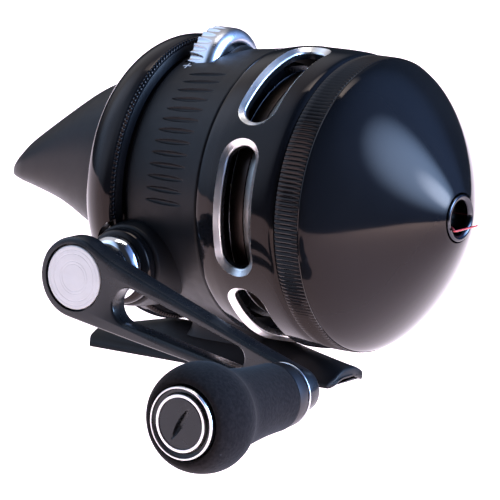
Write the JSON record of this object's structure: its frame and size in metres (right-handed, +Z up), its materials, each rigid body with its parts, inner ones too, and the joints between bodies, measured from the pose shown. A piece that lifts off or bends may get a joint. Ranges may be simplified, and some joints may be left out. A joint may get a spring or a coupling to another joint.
{
  "type": "spincast reel",
  "caption": "Closed-face spincast fishing reel with bullet nose, windowed shroud, thumb button, side crank with foam knob and saddle foot.",
  "frame": {"origin": "crown of the rod foot's underside, at the middle of the foot", "axes": "+X along the reel's main axis towards the nose, where the line leaves; -Y towards the crank side; +Z up, away from the rod"},
  "size_m": [0.1126, 0.1186, 0.074],
  "materials": {
    "gloss_black": "gloss black enamel",
    "gloss_black_plastic": "gloss black",
    "matt_black": "fine matt black",
    "satin_black": "satin black",
    "black_metal": "satin black coated metal",
    "chrome": "polished",
    "dark_chrome": "dark polished",
    "aluminium": "satin, turned",
    "steel": "brushed",
    "brass": "machined",
    "bronze": "dark bronze coating",
    "foam": "closed-cell foam, speckled",
    "nylon": "moulded",
    "red_line": "nylon fishing line"
  },
  "bodies": {
    "frame": {"rod_foot": "matt_black", "foot_screw_1": "steel", "foot_screw_2": "steel", "body_housing": "matt_black", "window_shroud": "gloss_black", "front_cover": "gloss_black", "line_guide_ring": "dark_chrome", "rear_cover": "gloss_black_plastic", "deck_plate": "black_metal", "gear_frame": "nylon", "pinion_bearing_front": "chrome", "pinion_bush_rear": "bronze", "crank_bearing_right": "chrome", "crank_bearing_left": "chrome", "crank_boss_ring": "gloss_black_plastic", "left_cap": "satin_black", "drag_axle": "steel", "drag_plunger": "steel", "spool_retainer": "steel", "pawl_pin": "steel", "return_spring": "steel"},
    "button": {"thumb_button": "matt_black"},
    "push_plate": {"thrust_collar": "steel"},
    "spinner": {"centre_shaft": "steel", "spinner_head": "bronze", "spinner_nut": "steel", "pickup_pin_1": "chrome", "pickup_pin_2": "chrome", "fishing_line": "red_line"},
    "pinion": {"pinion_gear": "brass"},
    "spool": {"spool": "black_metal", "line_winding": "red_line"},
    "drag_wheel": {"drag_wheel": "aluminium"},
    "pawl": {"ratchet_pawl": "steel"},
    "crank": {"crankshaft": "steel", "drive_gear": "brass", "ratchet_wheel": "steel", "crank_collar": "chrome", "crank_arm": "satin_black", "crank_screw": "steel", "crank_disc": "aluminium", "knob_spindle": "steel", "knob_ring": "chrome", "knob_neck": "satin_black"},
    "knob": {"knob_grip": "foam", "knob_sleeve": "satin_black", "knob_end_cap": "aluminium", "knob_plug": "satin_black", "knob_collar": "gloss_black_plastic"}
  },
  "joints": [
    {"name": "crank_spin", "type": "hinge", "parent": "frame", "child": "crank", "pos_m": [-0.0047, 0, 0.0236], "axis": [0, 1, 0], "continuous": true},
    {"name": "knob_spin", "type": "hinge", "parent": "crank", "child": "knob", "pos_m": [0.04956, -0.07, 0.00784], "axis": [0, 1, 0], "continuous": true},
    {"name": "pinion_spin", "type": "hinge", "parent": "frame", "child": "pinion", "pos_m": [0, 0, 0.0377], "axis": [1, 0, 0], "continuous": true},
    {"name": "thumb_slide", "type": "slide", "parent": "frame", "child": "button", "axis": [1, 0, 0], "range_m": [0, 0.0038], "stiffness_N_per_m": 800, "springref_m": -0.002},
    {"name": "shaft_slide", "type": "slide", "parent": "frame", "child": "push_plate", "axis": [1, 0, 0], "range_m": [0, 0.0038]},
    {"name": "spinner_spin", "type": "hinge", "parent": "push_plate", "child": "spinner", "pos_m": [0, 0, 0.0377], "axis": [1, 0, 0], "continuous": true},
    {"name": "spool_slip", "type": "hinge", "parent": "frame", "child": "spool", "pos_m": [0.02, 0, 0.0377], "axis": [1, 0, 0], "continuous": true},
    {"name": "drag_turn", "type": "hinge", "parent": "frame", "child": "drag_wheel", "pos_m": [-0.003, 0, 0.0604], "axis": [1, 0, 0], "range_deg": [-90, 180]},
    {"name": "pawl_lift", "type": "hinge", "parent": "frame", "child": "pawl", "pos_m": [0.0051, -0.0117, 0.0262], "axis": [0, -1, 0], "range_deg": [0, 12], "stiffness_Nm_per_rad": 0.0005, "springref_deg": -5.73}
  ],
  "couplings": [
    {"joint": "pinion_spin", "follows": "crank_spin", "ratio": 3.4},
    {"joint": "spinner_spin", "follows": "crank_spin", "ratio": 3.4},
    {"joint": "shaft_slide", "follows": "thumb_slide", "ratio": 1}
  ]
}
